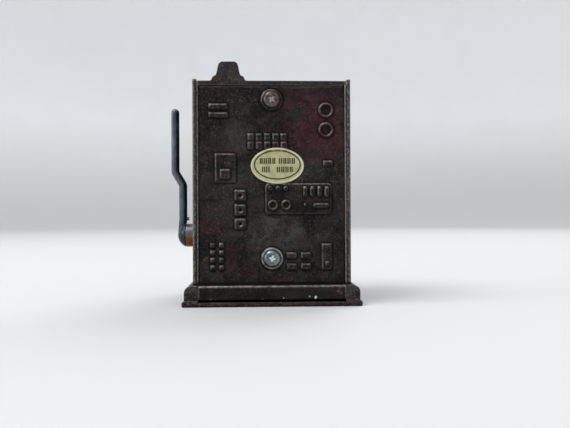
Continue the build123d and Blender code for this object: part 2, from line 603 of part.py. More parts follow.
def brake_leaf():
    """Springy comb with one finger behind each reel, its tips just clear of the bands."""
    back, thick = BAR_Y + BAR / 2, 0.25
    middle = back + thick / 2
    base = block(-11.5, 11.5, back, back + thick, BAR_Z - 1.2, BAR_Z + 2.0)
    bend = [(middle, BAR_Z + 1.9), (middle, BAR_Z + 2.6), (7.5, REEL_Z - 1.8), (7.0, REEL_Z - 0.2), (7.3, REEL_Z + 1.4)]
    for x in (-REEL_PITCH, 0, REEL_PITCH):
        base += slab_yz(ribbon(bend, thick), x - 1.5, x + 1.5)
    for x in (-4, 4):
        base -= rod_y(0.7, x, BAR_Z, 0, 20)
    return base


def brake_leaf_screws():
    back = BAR_Y + BAR / 2 + 0.25
    made = []
    for x in (-4, 4):
        head = rod_y(1.3, x, BAR_Z, back, back + 0.7)
        head = fillet(head.edges().group_by(Axis.Y)[-1], 0.3)
        screw = head + rod_y(0.7, x, BAR_Z, back - 2.2, back + 0.1)
        made.append(screw - Pos(x, back + 0.7, BAR_Z) * Box(2.8, 0.6, 0.35))
    return made


def build():
    plate = back_plate()
    bar = brake_bar()
    leaf_screws = brake_leaf_screws()
    for screw in leaf_screws:
        bar -= screw
    nodes = {
        "casing": casing(),
        "back_plate": plate,
        "origin_sticker": origin_sticker(plate),
        "window_bezel": window_bezel(),
        "window_lens": window_lens(),
        "award_plate": award_plate(),
        "payout_tray": payout_tray(),
        "lever_bushing": lever_bushing(),
        "pull_arm": pull_arm(),
        "lever_shaft": lever_shaft(),
        "lever_shaft_clip": snap_clip(1.1, 2.3, 13.05, 13.4, ARM_Y, ARM_Z),
        "sector_gear": sector_gear() - rod_x(SPRING_PIN_R, 0, 30, *pin_place()),
        "spring_pin": rod_x(SPRING_PIN_R, GEAR_X, 17.6, *pin_place()),
        "return_spring": return_spring(),
        "reel_shaft": reel_shaft(),
        "reel_shaft_clip": snap_clip(0.7, 1.9, -15.05, -14.7, REEL_Y, REEL_Z),
        "reel_pinion": reel_pinion(),
        "reel_spacers": Compound(children=spacer_washers()),
        "mechanism_frame": mechanism_frame(),
        "frame_screws": Compound(children=frame_screws()),
        "lever_stop_pin": stop_pin(),
        "brake_bar": bar,
        "brake_leaf": brake_leaf(),
        "brake_leaf_screws": Compound(children=leaf_screws),
    }
    for name, z in SCREW_Z.items():
        nodes[name] = back_screw(z)
    for i, name in enumerate(REEL_NAMES):
        x = (1 - i) * REEL_PITCH
        nodes[f"reel_drum_{name}"] = reel_drum(x)
        nodes[f"reel_band_{name}"] = reel_band(x)
    return nodes


os.makedirs("parts", exist_ok=True)
for node, shape in build().items():
    export_step(shape, f"parts/{node}.step")
print("arm axis", ARM_Y, ARM_Z, "reel axis", REEL_Y, round(REEL_Z, 3), "ratio", -SECTOR_TEETH / PINION_TEETH)
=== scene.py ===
"""Looks of the toy slot machine: aged cast metal, worn screws, a foil label and printed reels."""
import functools
import math
import random
import bmesh
import bpy
import numpy as np
from mathutils import Matrix, Vector
from mathutils.bvhtree import BVHTree


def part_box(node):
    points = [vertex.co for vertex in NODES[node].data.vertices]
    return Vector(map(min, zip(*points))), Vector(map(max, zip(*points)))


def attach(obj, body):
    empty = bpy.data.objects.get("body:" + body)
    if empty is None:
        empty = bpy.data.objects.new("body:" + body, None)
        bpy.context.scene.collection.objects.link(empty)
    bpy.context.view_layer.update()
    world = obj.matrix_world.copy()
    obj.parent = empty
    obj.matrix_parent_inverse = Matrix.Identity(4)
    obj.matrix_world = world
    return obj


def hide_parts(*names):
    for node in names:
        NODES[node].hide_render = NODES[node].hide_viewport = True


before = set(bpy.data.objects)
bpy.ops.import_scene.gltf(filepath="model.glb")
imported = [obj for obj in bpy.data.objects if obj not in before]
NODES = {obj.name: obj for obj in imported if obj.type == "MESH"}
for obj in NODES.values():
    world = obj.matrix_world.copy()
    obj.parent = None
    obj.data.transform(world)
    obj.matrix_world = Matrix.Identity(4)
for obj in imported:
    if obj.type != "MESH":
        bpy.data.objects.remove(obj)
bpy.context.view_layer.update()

MM = 0.001
CLAMPED = ("ADD", "MULTIPLY", "SUBTRACT")
HAIRLINE_WIDE, HAIRLINE_STRETCH, HAIRLINE_FROM = 0.14, 13.0, 0.71


# ------------------------------------------------------------------ node helpers
class Shader:
    """A material being wired up. Positions are in millimetres, so that noise scales read as sizes."""

    def __init__(self, name):
        self.material = bpy.data.materials.new(name)
        self.material.use_nodes = True
        self.tree = self.material.node_tree
        self.surface = self.tree.nodes["Principled BSDF"]
        place = self.add("ShaderNodeTexCoord").outputs["Object"]
        scale = self.add("ShaderNodeVectorMath", operation="SCALE")
        scale.inputs["Scale"].default_value = 1 / MM
        self.link(place, scale.inputs[0])
        self.place = scale.outputs[0]

    def add(self, kind, **settings):
        node = self.tree.nodes.new(kind)
        for key, value in settings.items():
            setattr(node, key, value)
        return node

    def link(self, source, target):
        self.tree.links.new(source, target)

    def put(self, value, socket):
        """Links an output, or sets a constant."""
        if isinstance(value, bpy.types.NodeSocket):
            self.link(value, socket)
        else:
            socket.default_value = value

    def stretched(self, x, y, z):
        node = self.add("ShaderNodeMapping")
        node.inputs["Scale"].default_value = (x, y, z)
        self.link(self.place, node.inputs["Vector"])
        return node.outputs[0]

    def noise(self, size, detail=4.0, rough=0.55, place=None, distort=0.0):
        """Grey noise whose blotches are about size millimetres across."""
        node = self.add("ShaderNodeTexNoise")
        node.inputs["Scale"].default_value = 1 / size
        node.inputs["Detail"].default_value = detail
        node.inputs["Roughness"].default_value = rough
        node.inputs["Distortion"].default_value = distort
        self.link(place or self.place, node.inputs["Vector"])
        return node.outputs["Fac"]

    def ramp(self, value, low, high, start=0.0, end=1.0):
        """Maps low..high of a grey value to start..end, clamped and smooth."""
        node = self.add("ShaderNodeMapRange", interpolation_type="SMOOTHSTEP")
        self.put(value, node.inputs["Value"])
        for socket, number in zip(("From Min", "From Max", "To Min", "To Max"), (low, high, start, end)):
            node.inputs[socket].default_value = number
        return node.outputs["Result"]

    def along(self, axis, low, high, start=0.0, end=1.0):
        """A grey value that runs from start to end between two coordinates; axis |X| has no sign."""
        split = self.add("ShaderNodeSeparateXYZ")
        self.link(self.place, split.inputs[0])
        value = split.outputs[axis.strip("|")]
        if axis.startswith("|"):
            absolute = self.add("ShaderNodeMath", operation="ABSOLUTE")
            self.link(value, absolute.inputs[0])
            value = absolute.outputs[0]
        return self.ramp(value, low, high, start, end)

    def math(self, operation, a, b):
        node = self.add("ShaderNodeMath", operation=operation, use_clamp=operation in CLAMPED)
        self.put(a, node.inputs[0])
        self.put(b, node.inputs[1])
        return node.outputs[0]

    def times(self, *values):
        """Product of grey values."""
        return functools.reduce(lambda a, b: self.math("MULTIPLY", a, b), values)

    def highest(self, *values):
        return functools.reduce(lambda a, b: self.math("MAXIMUM", a, b), values)

    def attribute(self, name):
        return self.add("ShaderNodeAttribute", attribute_name=name).outputs["Fac"]

    def mix(self, amount, a, b):
        """Mixes two colours."""
        node = self.add("ShaderNodeMix", data_type="RGBA")
        self.put(amount, node.inputs["Factor"])
        for value, socket in ((a, node.inputs[6]), (b, node.inputs[7])):
            self.put((*value, 1.0) if isinstance(value, tuple) else value, socket)
        return node.outputs[2]

    def near(self, distance):
        """0 in the open, towards 1 in corners and hollows."""
        node = self.add("ShaderNodeAmbientOcclusion", samples=8)
        node.inputs["Distance"].default_value = distance * MM
        return self.math("SUBTRACT", 1.0, node.outputs["AO"])

    def bump(self, height, depth, strength, before=None):
        node = self.add("ShaderNodeBump")
        node.inputs["Distance"].default_value = depth * MM
        node.inputs["Strength"].default_value = strength
        self.link(height, node.inputs["Height"])
        if before is not None:
            self.link(before, node.inputs["Normal"])
        return node.outputs["Normal"]

    def finish(self, color, metallic, roughness, normal, **constants):
        self.put((*color, 1.0) if isinstance(color, tuple) else color, self.surface.inputs["Base Color"])
        self.put(metallic, self.surface.inputs["Metallic"])
        self.put(roughness, self.surface.inputs["Roughness"])
        self.link(normal, self.surface.inputs["Normal"])
        for name, value in constants.items():
            self.surface.inputs[name].default_value = value
        return self.material


def scratches(s, turn_by):
    """Straight hairlines in four directions, only here and there."""
    layers = []
    for i, turn in enumerate((8, 74, 141, 37)):
        node = s.add("ShaderNodeMapping", vector_type="TEXTURE")
        node.inputs["Rotation"].default_value = (0.5 * i, math.radians(turn + turn_by), 0.4 * i)
        node.inputs["Location"].default_value = (3.1 * i, 1.7, 0.9 * i)
        node.inputs["Scale"].default_value = (HAIRLINE_STRETCH, 1.0, 1.0)
        s.link(s.place, node.inputs["Vector"])
        streaks = s.noise(HAIRLINE_WIDE, 1.5, 0.4, node.outputs[0], 0.25)
        line = s.ramp(streaks, HAIRLINE_FROM, HAIRLINE_FROM + 0.07)
        patch = s.ramp(s.noise(4.0 + 0.7 * i, 3.0, 0.6), 0.50, 0.66)
        layers.append(s.times(line, patch))
    return s.highest(*layers)


def around(s, centre, reach):
    """1 at a place in millimetres, falling to 0 at that reach, with a ragged border."""
    node = s.add("ShaderNodeVectorMath", operation="DISTANCE")
    s.link(s.place, node.inputs[0])
    node.inputs[1].default_value = centre
    ragged = s.add("ShaderNodeMath", operation="MULTIPLY_ADD")
    s.link(s.noise(reach / 3, 5.0, 0.65), ragged.inputs[0])
    ragged.inputs[1].default_value = reach
    s.link(node.outputs["Value"], ragged.inputs[2])
    return s.ramp(ragged.outputs[0], reach * 0.85, reach * 1.35, 1.0, 0.0)


def rounded_edges(s, radius):
    """(normal rounded over the edges, mask of those edges)."""
    bevel = s.add("ShaderNodeBevel", samples=6)
    bevel.inputs["Radius"].default_value = radius * MM
    dot = s.add("ShaderNodeVectorMath", operation="DOT_PRODUCT")
    s.link(bevel.outputs[0], dot.inputs[0])
    s.link(s.add("ShaderNodeNewGeometry").outputs["Normal"], dot.inputs[1])
    return bevel.outputs[0], s.ramp(dot.outputs["Value"], 0.80, 0.985, 1.0, 0.0)


# ------------------------------------------------------------------ materials
# Places on the back, in millimetres.
LEDGE_TOP, LEDGE_EDGE_Z, LEDGE_FACE_Y = 5.5, 5.42, 17.75
RIM_Y, RIM_INSIDE_X, INNER_BEAD_X, OUTER_BEAD_X = 15.2, 18.9, 19.2, 20.2
PLINTH_STEP_Z, PLINTH_TOP_Z, PLINTH_BACK_Y, ROOF_Z = 3.3, 5.6, 18.2, 59.3
# Colours of the bronze, from the lacquer down to bare metal.
LACQUER_BLACK, LACQUER_BROWN = (0.0072, 0.0062, 0.0061), (0.0395, 0.0240, 0.0225)
LACQUER_GREEN, LACQUER_PITS = (0.0262, 0.0290, 0.0255), (0.006, 0.0055, 0.0055)
MAROON, OLIVE, SEA_GREEN = (0.075, 0.0185, 0.0220), (0.072, 0.069, 0.057), (0.016, 0.030, 0.019)
SPECKLE_GREY, RIM_GREY, RIM_FLECKS = (0.165, 0.150, 0.142), (0.150, 0.132, 0.122), (0.300, 0.275, 0.255)
# Below: the last, near-black colour is painted shade for corners and under the relief.
ROOF_GREY, LEDGE_DARK, PAINTED_SHADE_DARK = (0.050, 0.053, 0.048), (0.0075, 0.0068, 0.0064), (0.003, 0.0027, 0.0027)
# Below: the grey bare metal is also a painted highlight on lit edges, and the near-white chip colour is also
# a painted glint along the ledge.
BARE_METAL_AND_HIGHLIGHT, CHIP_AND_GLINT_WHITE, COPPER = (0.330, 0.310, 0.300), (0.62, 0.61, 0.58), (0.21, 0.110, 0.055)
# Patches on the back plate: (centre, reach, strength).
MAROON_PATCHES = (((-11.0, 16.5, 49.0), 13.0, 1.0), ((-14.5, 16.5, 42.0), 8.0, 0.8),
                  ((-7.0, 16.5, 54.5), 7.0, 0.7), ((17.0, 16.5, 20.5), 5.0, 0.5),
                  ((13.0, 16.5, 12.0), 6.0, 0.4))
OLIVE_PATCHES = (((-1.5, 16.5, 18.5), 11.0, 1.0), ((8.0, 16.5, 33.0), 8.0, 0.6),
                 ((-10.5, 16.5, 35.0), 6.0, 0.5), ((9.0, 16.5, 44.0), 7.0, 0.5))
VERDIGRIS = ((-6.4, 16.5, 50.5), 3.0)


def blotches(s, patches):
    return s.highest(*[s.times(around(s, centre, reach), strength) for centre, reach, strength in patches])


def lacquer(s, speckle, painted):
    """Brown-black lacquer with two tints, maroon and olive patches and a fine speckle."""
    tone = s.noise(7.0, 6.0, 0.66, distort=0.9)
    tint = s.ramp(s.noise(1.7, 5.0, 0.72, distort=0.5), 0.38, 0.62)
    light = s.mix(tint, LACQUER_BROWN, LACQUER_GREEN)
    color = s.mix(s.ramp(tone, 0.38, 0.65), LACQUER_BLACK, light)
    maroon = s.ramp(s.noise(11.0, 5.0, 0.66, s.stretched(1, 1, 1.3), 0.7), 0.54, 0.68)
    olive = s.ramp(s.noise(5.0, 6.0, 0.72, s.stretched(1.2, 1, 0.8), 1.4), 0.56, 0.70)
    if painted:
        mottled = s.ramp(s.noise(2.6, 6.0, 0.72, distort=0.8), 0.40, 0.59, 0.15, 1.0)
        maroon = s.highest(s.times(maroon, 0.3), s.times(blotches(s, MAROON_PATCHES), mottled))
        olive = s.highest(s.times(olive, 0.5), s.times(blotches(s, OLIVE_PATCHES), mottled))
    color = s.mix(s.times(maroon, 0.75 if painted else 0.42), color, MAROON)
    color = s.mix(s.times(olive, 0.66), color, OLIVE)
    if painted:
        color = s.mix(s.times(around(s, *VERDIGRIS), 0.8), color, SEA_GREEN)
    color = s.mix(s.ramp(speckle, 0.44, 0.30, 0.0, 0.75), color, LACQUER_PITS)
    cloud = s.ramp(s.noise(4.5, 6.0, 0.7, s.stretched(0.9, 1, 1.1), 0.6), 0.44, 0.62, 0.42, 1.0)
    fine = s.times(s.ramp(speckle, 0.53, 0.68), s.times(cloud, 0.60))
    return s.mix(fine, color, SPECKLE_GREY)


def casing_wear_and_painted_light(s, color):
    """(colour, rounded normal, worn edges with painted highlights, painted shade and grime) of the casing.

    Its rim at the back is worn to specks, with a line along the outer bead and one along the inner bead;
    both lines are worn specks and a painted highlight, and the plinth's end blocks get a painted highlight
    along their tops."""
    base, edge = rounded_edges(s, 0.30)
    # Painted shade in corners and hollows, laid on in cast_bronze; here it also keeps the wear off inner
    # edges.
    painted_shade_and_grime = s.ramp(s.near(0.9), 0.22, 0.7)
    edge = s.times(edge, s.ramp(painted_shade_and_grime, 0.1, 0.5, 1.0, 0.0))
    rim = s.times(s.along("Y", RIM_Y, RIM_Y + 0.5), s.along("Z", PLINTH_TOP_Z, PLINTH_TOP_Z + 0.8))
    sides = s.times(rim, s.along("|X|", RIM_INSIDE_X, RIM_INSIDE_X + 0.4, 0.3, 1.0))
    flecks = s.ramp(s.noise(0.6, 4.0, 0.8), 0.50, 0.63)
    color = s.mix(s.times(sides, 0.16), color, RIM_GREY)
    color = s.mix(s.times(sides, flecks, 0.62), color, RIM_FLECKS)
    outer_line = s.times(s.along("|X|", OUTER_BEAD_X, OUTER_BEAD_X + 0.25), rim)
    inner_line = s.times(s.along("|X|", INNER_BEAD_X, INNER_BEAD_X + 0.15),
                         s.along("|X|", INNER_BEAD_X + 0.3, INNER_BEAD_X + 0.45, 1.0, 0.0), rim)
    specks = s.ramp(s.noise(0.45, 4.0, 0.8), 0.47, 0.58, 0.15, 1.0)
    # Light lines on the beads: worn specks and a painted highlight where the rounded beads would catch the
    # light.
    bead_lines_wear_and_highlight = s.times(s.highest(s.times(outer_line, 0.6), s.times(inner_line, 0.95)), specks)
    plinth_strip = s.times(s.along("Y", PLINTH_BACK_Y, PLINTH_BACK_Y + 0.3),
                           s.ramp(s.noise(0.5, 4.0, 0.8), 0.54, 0.60))
    color = s.mix(s.along("Z", ROOF_Z, ROOF_Z + 1, 0.0, 0.32), color, ROOF_GREY)
    ends = s.times(s.along("|X|", INNER_BEAD_X + 0.2, INNER_BEAD_X + 0.6), s.along("Y", 14.0, 16.0))
    # Painted highlight along the tops of the plinth's end blocks.
    plinth_top_highlight = s.times(ends, s.along("Z", PLINTH_STEP_Z, PLINTH_STEP_Z + 0.7),
                         s.along("Z", PLINTH_TOP_Z - 0.6, PLINTH_TOP_Z + 0.1, 1.0, 0.0))
    edge = s.highest(edge, bead_lines_wear_and_highlight, s.times(plinth_strip, 0.5), s.times(plinth_top_highlight, 0.14))
    return color, base, edge, painted_shade_and_grime


def cast_bronze(name, painted=False):
    """Dark antique bronze on a zinc casting, with its edges rubbed grey, painted highlights on lit edges and
    painted shade in its corners.

    painted takes its wear, painted highlight and painted shade from the mesh's attributes and has the back
    plate's patches."""
    s = Shader(name)
    speckle = s.noise(0.33, 4.0, 0.75)
    color = lacquer(s, speckle, painted)
    ragged = s.ramp(s.noise(0.8, 5.0, 0.75), 0.34, 0.56, 0.15, 1.0)
    if painted:
        color = s.mix(s.along("Z", LEDGE_TOP - 0.3, LEDGE_TOP + 0.3, 0.36, 0.0), color, LEDGE_DARK)
        base, edge, painted_shade_and_grime = None, s.attribute("wear_and_highlight"), s.attribute("painted_shade_and_grime")
    else:
        color, base, edge, painted_shade_and_grime = casing_wear_and_painted_light(s, color)
    # Painted shade: near black in the corners and under the relief.
    color = s.mix(s.times(painted_shade_and_grime, 0.92), color, PAINTED_SHADE_DARK)
    hairlines = s.times(scratches(s, 12), 0.34)
    # Worn edges and hairlines go to bare grey metal; the edges also carry painted highlights.
    bare_and_highlight = s.highest(s.times(edge, ragged), hairlines)
    color = s.mix(s.times(bare_and_highlight, 0.9), color, BARE_METAL_AND_HIGHLIGHT)
    if painted:
        # Chips on the ledge and a painted glint along its upper edge, in near white.
        torn = s.ramp(s.noise(0.5, 3.0, 0.7), 0.35, 0.65, 0.0, 0.75)
        chip_and_glint = s.ramp(s.math("SUBTRACT", s.attribute("chip_and_glint"), torn), 0.1, 0.35)
        color = s.mix(s.times(chip_and_glint, s.along("Y", LEDGE_FACE_Y, LEDGE_FACE_Y + 0.2)), color, CHIP_AND_GLINT_WHITE)
        copper = s.times(s.attribute("copper"), s.ramp(speckle, 0.42, 0.58, 0.1, 0.9))
        color = s.mix(copper, color, COPPER)
    rough = s.ramp(s.noise(2.4, 6.0, 0.72), 0.3, 0.7, 0.30, 0.56)
    grain = s.math("ADD", s.times(speckle, 0.55), s.times(s.noise(1.3, 4.0, 0.6), 0.6))
    normal = s.bump(grain, 0.055, 0.9, base)
    normal = s.bump(s.math("SUBTRACT", 1.0, hairlines), 0.02, 0.5, normal)
    return s.finish(color, 0.85, rough, normal)


def gunmetal():
    """Satin blue-grey plating of the pull arm, darker towards the hub and rubbed in places."""
    s = Shader("gunmetal_plating")
    cloud = s.ramp(s.noise(3.0, 6.0, 0.66, s.stretched(1, 1, 0.5)), 0.35, 0.68)
    color = s.mix(cloud, (0.050, 0.062, 0.080), (0.125, 0.148, 0.182))
    color = s.mix(s.along("Z", 17.0, 23.0, 0.80, 0.0), color, (0.016, 0.018, 0.022))
    base, edge = rounded_edges(s, 0.15)
    rub = s.times(edge, s.ramp(s.noise(0.8, 5.0, 0.7), 0.42, 0.6))
    color = s.mix(s.highest(rub, s.times(scratches(s, 40), 0.5)), color, (0.36, 0.37, 0.38))
    rough = s.ramp(s.noise(1.0, 5.0, 0.7), 0.3, 0.7, 0.26, 0.46)
    return s.finish(color, 0.9, rough, s.bump(s.noise(0.5, 5.0, 0.65), 0.035, 0.8, base))


def metal(name, dark, light, rough, tarnish=None, metallic=1.0, recess=None):
    """Plain metal with blotches, hairlines, painted shade in the corners and worn edges.

    recess is the colour of a driver's cross, a painted highlight in the recess; the middle of the cross is
    darker."""
    s = Shader(name)
    color = s.mix(s.ramp(s.noise(1.8, 6.0, 0.66), 0.34, 0.68), dark, light)
    if tarnish is not None:
        stain = s.ramp(s.noise(1.2, 6.0, 0.74, distort=0.6), 0.47, 0.66, 0.0, 0.5)
        color = s.mix(stain, color, tarnish)
    base, edge = rounded_edges(s, 0.10)
    # Painted shade: darker in the corners.
    painted_shade_and_grime = s.ramp(s.near(0.6), 0.25, 0.85)
    color = s.mix(s.times(painted_shade_and_grime, 0.7), color, tuple(c * 0.12 for c in dark))
    edge = s.times(edge, s.ramp(painted_shade_and_grime, 0.1, 0.5, 1.0, 0.0))
    bright = tuple(min(0.9, c * 1.25 + 0.04) for c in light)
    color = s.mix(s.highest(s.times(edge, 0.7), s.times(scratches(s, 65), 0.4)), color, bright)
    if recess is not None:
        cross = s.attribute("recess")
        # Painted highlight in the cross recess, darker in its middle.
        color = s.mix(s.ramp(cross, 0.1, 0.6), color, recess)
        color = s.mix(s.ramp(cross, 0.86, 0.98), color, tuple(c * 0.25 for c in tarnish))
    roughness = s.ramp(s.noise(0.8, 5.0, 0.7), 0.3, 0.7, rough - 0.08, rough + 0.12)
    return s.finish(color, metallic, roughness, s.bump(s.noise(0.25, 4.0, 0.6), 0.02, 0.7, base))


def pressed_brass(name, raised_y=None):
    """Antiqued brass trim: dark in the low places, rubbed bright on edges and past raised_y."""
    s = Shader(name)
    color = s.mix(s.ramp(s.noise(2.6, 6.0, 0.7), 0.36, 0.66), (0.060, 0.043, 0.024), (0.120, 0.086, 0.046))
    speckle = s.noise(0.35, 4.0, 0.75)
    color = s.mix(s.ramp(speckle, 0.52, 0.68, 0.0, 0.55), color, (0.26, 0.19, 0.10))
    base, edge = rounded_edges(s, 0.32)
    painted_shade_and_grime = s.ramp(s.near(1.1), 0.15, 0.6)
    color = s.mix(s.times(painted_shade_and_grime, 0.85), color, (0.012, 0.009, 0.006))
    rub = s.times(edge, s.ramp(s.noise(0.9, 5.0, 0.75), 0.32, 0.56, 0.3, 1.0))
    if raised_y is not None:
        proud = s.along("Y", raised_y - 0.05, raised_y + 0.05, 1.0, 0.0)
        rub = s.highest(rub, s.times(proud, s.ramp(speckle, 0.30, 0.5, 0.55, 1.0)))
    color = s.mix(s.highest(s.times(rub, 0.9), s.times(scratches(s, 65), 0.35)), color, (0.50, 0.385, 0.20))
    rough = s.ramp(s.noise(1.2, 5.0, 0.7), 0.3, 0.7, 0.26, 0.44)
    return s.finish(color, 0.95, rough, s.bump(s.noise(0.3, 4.0, 0.6), 0.02, 0.7, base))


def bushing_metal():
    """Copper collar with a painted reflection: its upper half is painted grey."""
    s = Shader("worn_bushing_painted_reflection")
    split = s.add("ShaderNodeSeparateXYZ")
    s.link(s.place, split.inputs[0])
    ragged = s.add("ShaderNodeMath", operation="MULTIPLY_ADD")
    s.link(s.noise(1.2, 5.0, 0.7), ragged.inputs[0])
    ragged.inputs[1].default_value = 2.0
    s.link(split.outputs["Z"], ragged.inputs[2])
    # Painted reflection: grey over the upper half, copper below.
    upper_half_reflection = s.ramp(ragged.outputs[0], 18.3, 19.4)
    color = s.mix(upper_half_reflection, (0.21, 0.085, 0.036), (0.160, 0.160, 0.170))
    color = s.mix(s.ramp(s.noise(0.7, 6.0, 0.75), 0.45, 0.7, 0.0, 0.6), color, (0.09, 0.055, 0.04))
    base, edge = rounded_edges(s, 0.2)
    color = s.mix(s.times(edge, 0.6), color, (0.40, 0.35, 0.31))
    rough = s.ramp(s.noise(0.6, 5.0, 0.7), 0.3, 0.7, 0.24, 0.44)
    return s.finish(color, 1.0, rough, s.bump(s.noise(0.3, 4.0, 0.6, s.stretched(3, 1, 1)), 0.02, 0.8, base))


def plastic(name, color, rough, **constants):
    s = Shader(name)
    shade = s.mix(s.ramp(s.noise(4.0, 5.0, 0.6), 0.3, 0.7), tuple(c * 0.9 for c in color), color)
    # Painted shade: darker in the corners.
    painted_shade_and_grime = s.ramp(s.near(0.6), 0.3, 0.9)
    shade = s.mix(s.times(painted_shade_and_grime, 0.45), shade, tuple(c * 0.35 for c in color))
    rough = s.ramp(s.noise(1.1, 4.0, 0.6), 0.3, 0.7, rough - 0.05, rough + 0.08)
    return s.finish(shade, 0.0, rough, s.bump(s.noise(0.4, 3.0), 0.01, 0.5), **constants)


def foil_paper():
    """Pale gold label, a little soiled, with brownish stains."""
    s = Shader("foil_label")
    color = s.mix(s.ramp(s.noise(2.2, 6.0, 0.66), 0.35, 0.68), (0.40, 0.385, 0.185), (0.54, 0.52, 0.275))
    stain = s.ramp(s.noise(3.6, 6.0, 0.7, s.stretched(1, 1, 2.0)), 0.54, 0.70)
    color = s.mix(s.times(stain, 0.5), color, (0.27, 0.19, 0.085))
    dirt = s.ramp(s.noise(0.3, 4.0, 0.7), 0.62, 0.75, 0.0, 0.5)
    color = s.mix(dirt, color, (0.10, 0.085, 0.05))
    rough = s.ramp(s.noise(1.0, 4.0), 0.3, 0.7, 0.34, 0.52)
    return s.finish(color, 0.3, rough, s.bump(s.noise(0.6, 5.0, 0.65), 0.03, 0.7))


def clear_plastic():
    s = Shader("clear_lens")
    rough = s.ramp(s.noise(2.0, 4.0), 0.3, 0.7, 0.03, 0.12)
    return s.finish((0.95, 0.97, 0.97), 0.0, rough, s.bump(s.noise(1.5, 3.0), 0.01, 0.3), Alpha=0.06)


def printed(name, color, rough=0.55):
    s = Shader(name)
    faded = tuple(min(1, c * 1.25 + 0.015) for c in color)
    shade = s.mix(s.ramp(s.noise(0.7, 5.0, 0.7), 0.3, 0.75), color, faded)
    return s.finish(shade, 0.0, rough, s.bump(s.noise(0.15, 3.0), 0.004, 0.5))


MATERIALS = {
    "bronze": cast_bronze("antique_bronze"),
    "bronze_plate": cast_bronze("antique_bronze_plate", painted=True),
    "gunmetal": gunmetal(),
    "bushing": bushing_metal(),
    # The light colours given for the screws' crosses are painted highlights in the recesses.
    "screw_dull": metal("tarnished_screw", (0.090, 0.064, 0.060), (0.185, 0.142, 0.138), 0.34,
                        tarnish=(0.070, 0.038, 0.034), recess=(0.48, 0.44, 0.43)),
    "zinc": metal("zinc_plate", (0.42, 0.44, 0.45), (0.58, 0.60, 0.61), 0.30),
    "screw_zinc": metal("zinc_screw", (0.10, 0.135, 0.135), (0.27, 0.335, 0.33), 0.32,
                        tarnish=(0.060, 0.105, 0.100), recess=(0.85, 0.95, 0.90)),
    "steel": metal("sheet_steel", (0.42, 0.43, 0.44), (0.58, 0.585, 0.59), 0.34),
    "shaft": metal("turned_steel", (0.50, 0.50, 0.51), (0.66, 0.66, 0.67), 0.22),
    "spring": metal("spring_steel", (0.28, 0.28, 0.29), (0.42, 0.42, 0.43), 0.3),
    "brass": metal("stamped_brass", (0.55, 0.39, 0.16), (0.74, 0.56, 0.27), 0.3),
    "bezel": pressed_brass("antiqued_brass_bezel"),
    "award": pressed_brass("antiqued_brass_award", raised_y=-16.42),
    "ivory": plastic("ivory_plastic", (0.80, 0.77, 0.68), 0.35),
    "nylon": plastic("natural_nylon", (0.78, 0.77, 0.72), 0.5),
    "lens": clear_plastic(),
    "label": foil_paper(),
    "label_rim": metal("label_rim", (0.57, 0.555, 0.35), (0.68, 0.665, 0.47), 0.35, metallic=0.3),
    "ink": printed("dark_ink", (0.014, 0.012, 0.009), 0.6),
    "paper": plastic("reel_paper", (0.84, 0.79, 0.66), 0.6),
    "red": printed("red_ink", (0.45, 0.020, 0.018)),
    "green": printed("green_ink", (0.02, 0.16, 0.04)),
    "blue": printed("blue_ink", (0.02, 0.05, 0.28)),
    "gold": printed("gold_ink", (0.55, 0.33, 0.04)),
}

CAD_FINISH = {
    "bronze": ["casing", "payout_tray"],
    "bezel": ["window_bezel"],
    "award": ["award_plate"],
    "lens": ["window_lens"],
    "bushing": ["lever_bushing"],
    "gunmetal": ["pull_arm"],
    "shaft": ["lever_shaft", "spring_pin", "reel_shaft", "lever_stop_pin"],
    "spring": ["lever_shaft_clip", "return_spring", "reel_shaft_clip", "brake_leaf"],
    "brass": ["sector_gear", "reel_pinion"],
    "nylon": ["reel_spacers"],
    "steel": ["mechanism_frame", "brake_bar"],
    "zinc": ["frame_screws", "brake_leaf_screws"],
    "ivory": ["reel_drum_left", "reel_drum_centre", "reel_drum_right"],
    "paper": ["reel_band_left", "reel_band_centre", "reel_band_right"],
}


def dress(obj, finish):
    obj.data.materials.clear()
    obj.data.materials.append(MATERIALS[finish])


def new_object(name, vertices, faces, finish, smooth=True):
    mesh = bpy.data.meshes.new(name)
    mesh.from_pydata([tuple(c * MM for c in v) for v in vertices], [], faces)
    mesh.validate()
    obj = bpy.data.objects.new(name, mesh)
    bpy.context.scene.collection.objects.link(obj)
    mesh.polygons.foreach_set("use_smooth", [smooth] * len(mesh.polygons))
    dress(obj, finish)
    return obj


def ring_faces(rings, sides):
    """Quads between the rings of a grid that goes all the way round."""
    faces = []
    for i in range(rings):
        for k in range(sides):
            n = (k + 1) % sides
            faces.append((i * sides + k, (i + 1) * sides + k, (i + 1) * sides + n, i * sides + n))
    return faces


def mend(obj, weld=False, face_back=False):
    """Turns the faces outwards, or towards +Y on an open sheet. weld joins vertices in one place."""
    bm = bmesh.new()
    bm.from_mesh(obj.data)
    if weld:
        bmesh.ops.remove_doubles(bm, verts=bm.verts, dist=1e-6)
    bmesh.ops.recalc_face_normals(bm, faces=bm.faces)
    if face_back and sum(f.normal.y for f in bm.faces) < 0:
        bmesh.ops.reverse_faces(bm, faces=bm.faces)
    bm.to_mesh(obj.data)
    bm.free()


def box_mm(node):
    low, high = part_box(node)
    return [c / MM for c in low], [c / MM for c in high]


# ------------------------------------------------------------------ back plate
PLATE_FACE, GRID_STEP = 15.7, 0.165
LOWER_SCREW, BOSS_EDGE_R = (0.0, 12.3), 2.62
